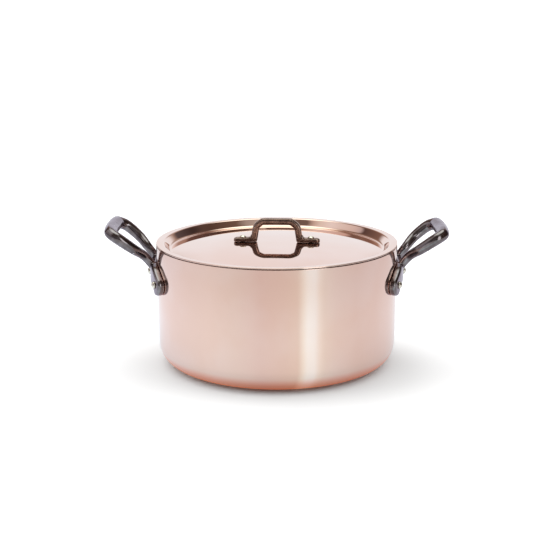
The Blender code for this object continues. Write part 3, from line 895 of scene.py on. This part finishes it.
def earBar(side):
    # from under the leg outwards, with a quarter circle of fillet at the leg and a rounded end
    leg = arch["width"] / 2
    turn = np.radians(np.linspace(0, 90, 12))
    fillet, end = arch["earFillet"], arch["earEnd"]
    x = np.concatenate([[leg - arch["bar"] + arch["earStart"]], leg + fillet * (1 - np.cos(turn)),
                        arch["earReach"] - end * (1 - np.sin(turn))])
    swell = np.concatenate([[fillet], fillet * (1 - np.sin(turn)), 0 * turn])
    inset = np.concatenate([[0.0], 0 * turn, end * (1 - np.cos(turn))])
    thick = arch["earThickness"] + swell - inset * 0.5
    path = np.column_stack([side * x, 0 * x, thick / 2])
    across = np.column_stack([0 * x, arch["depth"] / 2 - inset, 0 * x])
    normal = np.column_stack([0 * x, 0 * x, thick / 2])
    return swept(path, across, normal, arch["squareness"], 44)


def onLid(points):
    # turned by the yaw and stood on its seat, its ears bent down with the crown
    c, s = math.cos(arch["yaw"]), math.sin(arch["yaw"])
    x, y, z = points.T
    run = panRadius - lidShape["flange"] - lidShape["stepRun"] - lidShape["seat"]
    part = np.maximum(np.hypot(x, y) - lidShape["seat"], 0.0) / run
    return np.column_stack([c * x - s * y, s * x + c * y,
                            z + seatTop - lidShape["crown"] * part ** lidShape["crownPower"]])


lidHandleMesh = moveMesh(castSolid("lidHandle", [archBar(), earBar(-1), earBar(1)], arch["voxel"],
                                   arch["smoothing"]), onLid)
lidHandle = addPiece("lidHandle", lidHandleMesh, lidHandleIron)
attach(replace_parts(lidHandle, "lid_handle"), "lid")
print("lid handle made")


# Stage: a white floor, a soft sun, a studio for the reflections, and the camera

studio = {
    "floorSize": 30.0,
    "floorDrop": 0.0002,       # keeps the floor clear of the base
    "floorGain": 1.56,         # how much whiter the floor is to the camera
    "shadowFill": 0.46,        # how far the metal sees the floor without its shadow
    "imageCentre": 0.064,      # the wall mirrors the floor as seen from this far in front
    # painted warm bounce light from the copper on the mirrored floor
    "paintedBounceNearPan": (0.93, 0.34, 0.19),       # tint of the mirrored floor right beside the pan
    "nearReach": (0.100, 0.137),         # how far from the pan's middle it fades out
    # painted pool of light: the mirrored floor is brighter near the pan and dimmer far out
    "inner": (1.14, 1.19, 1.20),         # tints of the mirrored floor near and far away
    "outer": (0.96, 0.96, 0.955),
    "outerReach": (0.20, 0.60),          # how far out one passes into the other
    "sunEnergy": 0.16,
    "sunSpread": 30.0,         # degrees across
    "sunFrom": (-0.30, 0.40, 1.0),
    "frontLight": 0.31,        # soft light on matt things from the front, from behind
    "backLight": 0.35,         # and from the sides
    "sideLight": 1.04,
    "leftShare": 0.12,         # the left side gives this share more, the right as much less
    "frontFade": (-0.6, 0.0),  # back and side light fade in between these y of the direction
    "zenith": (2.05, 2.20, 1.98),        # the overhead light
    "zenithEdge": (0.865, 0.95),         # cosine of the angle from its middle, at its soft edge
    "lean": (0.26, 0.966),     # the direction of its middle: y and z
    "lowEdge": (0.17, 0.30),   # heights of the direction where one ring of tones passes
    "highEdge": (0.56, 0.65),  # into the next
    "secondHand": 0.2,         # share of the mirrored light that reaches the floor off the metal
}

# what the metal sees round it, by degrees to the right of the front: the floor, the walls
# up to 10 degrees high, then from 17 to 34 degrees, then from 41 degrees on. A narrow strip
# light stands at the right of the front, a broad soft one hangs at the left
# the floor's tones are painted light: lighter and darker by bearing, with a painted reflection of the strip
# light from 25 to 40 degrees
floorToneAndPaintedLight = ((-180, (0.96, 1.02, 1.08)), (-126, (0.94, 0.98, 1.05)), (-65, (0.92, 0.95, 0.96)),
              (-39, (0.86, 0.86, 0.84)), (-15, (0.82, 0.78, 0.77)), (8, (0.84, 0.81, 0.78)),
              (20, (0.86, 0.85, 0.80)), (25, (1.00, 1.12, 1.08)), (29, (1.05, 1.26, 1.31)),
              (36, (1.04, 1.24, 1.30)), (40, (0.97, 1.06, 1.04)), (45, (0.89, 0.93, 0.90)),
              (56, (0.85, 0.85, 0.84)), (78, (0.82, 0.80, 0.80)), (124, (0.87, 0.88, 0.92)),
              (180, (0.96, 1.02, 1.08)))
lowTones = ((-180, (0.95, 1.01, 1.05)), (-146, (0.95, 1.01, 1.05)), (-137, (0.14, 0.11, 0.11)),
            (-122, (0.14, 0.11, 0.11)), (-112, (0.40, 0.38, 0.46)), (-60, (0.38, 0.36, 0.42)),
            (-20, (0.20, 0.17, 0.17)), (24, (0.17, 0.14, 0.14)), (27, (2.60, 2.62, 2.55)),
            (46, (2.60, 2.62, 2.55)), (49, (0.16, 0.12, 0.10)), (124, (0.08, 0.05, 0.05)),
            (138, (0.92, 0.97, 1.00)), (180, (0.95, 1.01, 1.05)))
midTones = ((-180, (0.95, 1.00, 1.04)), (-172, (0.95, 1.00, 1.04)), (-165, (0.44, 0.33, 0.26)),
            (-150, (0.26, 0.17, 0.13)), (-121, (0.11, 0.07, 0.06)), (-116, (0.58, 0.52, 0.51)),
            (-105, (0.74, 0.66, 0.64)), (-62, (0.55, 0.50, 0.50)), (-54, (0.16, 0.12, 0.11)),
            (-38, (0.16, 0.13, 0.12)), (-22, (0.24, 0.22, 0.21)), (8, (0.24, 0.22, 0.21)),
            (24, (0.15, 0.12, 0.11)), (27, (2.60, 2.62, 2.55)), (46, (2.60, 2.62, 2.55)),
            (49, (0.11, 0.07, 0.055)), (118, (0.055, 0.038, 0.034)), (140, (0.11, 0.09, 0.09)),
            (146, (0.44, 0.34, 0.28)), (160, (0.46, 0.38, 0.33)), (172, (0.95, 1.00, 1.04)),
            (180, (0.95, 1.00, 1.04)))
highTones = ((-180, (0.30, 0.20, 0.15)), (-170, (0.36, 0.25, 0.18)), (-150, (0.30, 0.21, 0.16)),
             (-124, (0.20, 0.14, 0.11)), (-116, (0.68, 0.58, 0.53)), (-80, (0.88, 0.88, 0.86)),
             (-66, (0.80, 0.78, 0.72)), (-57, (0.60, 0.52, 0.46)), (-48, (0.19, 0.145, 0.12)),
             (24, (0.16, 0.12, 0.105)), (28, (0.52, 0.50, 0.46)), (48, (0.40, 0.37, 0.33)),
             (62, (0.17, 0.12, 0.09)), (95, (0.10, 0.065, 0.05)), (115, (0.10, 0.07, 0.06)),
             (140, (0.16, 0.10, 0.08)), (165, (0.24, 0.16, 0.12)),
             (180, (0.30, 0.20, 0.15)))


def rayKinds(n):
    # is it the camera's ray, is it a mirrored or refracted one, and how bright that looks:
    # full to the camera, little where it would light the floor
    path = n.add("ShaderNodeLightPath").outputs
    shiny = n.maths("MAXIMUM", path["Is Glossy Ray"], path["Is Transmission Ray"])
    share = n.ramp(path["Diffuse Depth"], 0.0, 1.0, 1.0, studio["secondHand"])
    return path["Is Camera Ray"], shiny, share


def byRay(n, camera, shiny, light, mirrored, seen):
    # three shaders in one: for the light on matt things, for reflections, for the camera
    unseen = n.add("ShaderNodeMixShader", {0: shiny, 1: light, 2: mirrored}).outputs[0]
    return n.add("ShaderNodeMixShader", {0: camera, 1: unseen, 2: seen}).outputs[0]


def studioWorld():
    # a white surround, rings of tones for the reflections, soft light from behind and aside
    world = bpy.data.worlds.new("studio")
    scene.world = world
    world.use_nodes = True
    world.cycles.sampling_method = "NONE"
    n = Nodes(world.node_tree)
    n.nodes.clear()
    way = n.add("ShaderNodeSeparateXYZ", {0: n.add("ShaderNodeTexCoord").outputs["Generated"]}).outputs
    low = n.ring(way[0], way[1], lowTones)
    middle = n.ring(way[0], way[1], midTones)
    high = n.ring(way[0], way[1], highTones)
    walls = n.blend(n.ramp(way[2], *studio["lowEdge"]), low, middle)
    walls = n.blend(n.ramp(way[2], *studio["highEdge"]), walls, high)
    overhead = n.maths("ADD", n.maths("MULTIPLY", way[1], studio["lean"][0]),
                       n.maths("MULTIPLY", way[2], studio["lean"][1]))
    tones = n.blend(n.ramp(overhead, *studio["zenithEdge"]), walls, studio["zenith"])
    camera, shiny, share = rayKinds(n)
    fromLeft = n.maths("MULTIPLY", way[0], studio["leftShare"])
    spread = n.maths("SUBTRACT", n.maths("ABSOLUTE", way[0]), fromLeft)
    sides = n.maths("MULTIPLY", spread, studio["sideLight"])
    behind = n.maths("MULTIPLY", n.ramp(way[1], *studio["frontFade"]),
                     n.maths("ADD", sides, studio["backLight"]))
    strength = n.maths("ADD", behind, studio["frontLight"])
    light = n.add("ShaderNodeBackground", {"Color": (1, 1, 1), "Strength": strength}).outputs[0]
    mirrored = n.add("ShaderNodeBackground", {"Color": tones, "Strength": share}).outputs[0]
    white = n.add("ShaderNodeBackground", {"Color": (1, 1, 1), "Strength": 1.0}).outputs[0]
    n.add("ShaderNodeOutputWorld", {0: byRay(n, camera, shiny, light, mirrored, white)})


def floorMaterial():
    # white to the camera, with the pan's shadow. To the metal it is lit unevenly, and shows painted light:
    # tones by bearing with a painted reflection of the strip light, a painted pool of light and painted warm
    # bounce light beside the pan
    material = bpy.data.materials.new("floor")
    material.use_nodes = True
    material.cycles.emission_sampling = "NONE"
    n = Nodes(material.node_tree)
    n.nodes.clear()
    spot = n.add("ShaderNodeSeparateXYZ", {0: n.add("ShaderNodeTexCoord").outputs["Object"]}).outputs
    away = n.length(spot[0], spot[1])
    # painted light on the mirrored floor: tones by bearing, warm bounce light by the pan, a pool fading with
    # distance
    tone = n.ring(spot[0], n.maths("ADD", spot[1], studio["imageCentre"]), floorToneAndPaintedLight)
    tone = n.times(tone, n.blend(n.ramp(away, *studio["nearReach"]), studio["paintedBounceNearPan"], (1, 1, 1)))
    tone = n.times(tone, n.blend(n.ramp(away, *studio["outerReach"]), studio["inner"], studio["outer"]))
    camera, shiny, share = rayKinds(n)
    tone = n.times(tone, n.blend(share, (0, 0, 0), (1, 1, 1)))
    fill = studio["shadowFill"]
    lit = n.add("ShaderNodeBsdfDiffuse", {"Color": n.times(tone, (1 - fill, 1 - fill, 1 - fill))}).outputs[0]
    glow = n.add("ShaderNodeEmission", {"Color": tone, "Strength": fill}).outputs[0]
    mirrored = n.add("ShaderNodeAddShader", {0: lit, 1: glow}).outputs[0]
    white = n.add("ShaderNodeBsdfDiffuse", {"Color": (1, 1, 1)}).outputs[0]
    gain = studio["floorGain"]
    seen = n.add("ShaderNodeBsdfDiffuse", {"Color": (gain, gain, gain)}).outputs[0]
    n.add("ShaderNodeOutputMaterial", {0: byRay(n, camera, shiny, white, mirrored, seen)})
    return material


def makeFloor():
    # flat disc: rings whose radius grows with the third power, and a fan round its middle
    rings, around = 11, 96
    radius = studio["floorSize"] * np.linspace(0, 1, rings + 1)[1:, None] ** 3
    angle = np.linspace(0, 2 * math.pi, around, endpoint=False)
    points = np.stack([radius * np.cos(angle), radius * np.sin(angle), 0 * radius * angle], axis=-1)
    points = np.vstack([points.reshape(-1, 3), (0, 0, 0)])
    ring = np.arange(around)
    fan = np.column_stack([ring, (ring + 1) % around, np.full(around, rings * around)])
    mesh = bpy.data.meshes.new("floor")
    mesh.from_pydata(points.tolist(), [], gridFaces(rings, around)[:, ::-1].tolist() + fan.tolist())
    floor = addPiece("floor", mesh, floorMaterial())
    floor.location.z = -studio["floorDrop"]


def makeSun():
    # a broad lamp above and behind at the left, for the shadow on the floor
    lamp = bpy.data.lights.new("softSun", "SUN")
    lamp.energy = studio["sunEnergy"]
    lamp.angle = math.radians(studio["sunSpread"])
    sun = bpy.data.objects.new("softSun", lamp)
    scene.collection.objects.link(sun)
    sun.matrix_world = Matrix(frameAt((0, 0, 1), studio["sunFrom"], (0, 1, 0)).tolist())
    sun.visible_glossy = False


view = {
    "place": (0.0032166, -1.25, 0.3966831),
    "pitch": 0.2461,           # radians below the horizon
    "sensor": 36.0,
    "lens": 81.034,
}


def makeCamera():
    # in front of the pan, pitched down to it
    data = bpy.data.cameras.new("camera")
    data.sensor_width = view["sensor"]
    data.lens = view["lens"]
    camera = bpy.data.objects.new("camera", data)
    scene.collection.objects.link(camera)
    camera.location = view["place"]
    camera.rotation_euler = (math.pi / 2 - view["pitch"], 0.0, 0.0)
    scene.camera = camera


studioWorld()
makeFloor()
makeSun()
makeCamera()
scene.view_settings.view_transform = "Standard"
print("stage made")
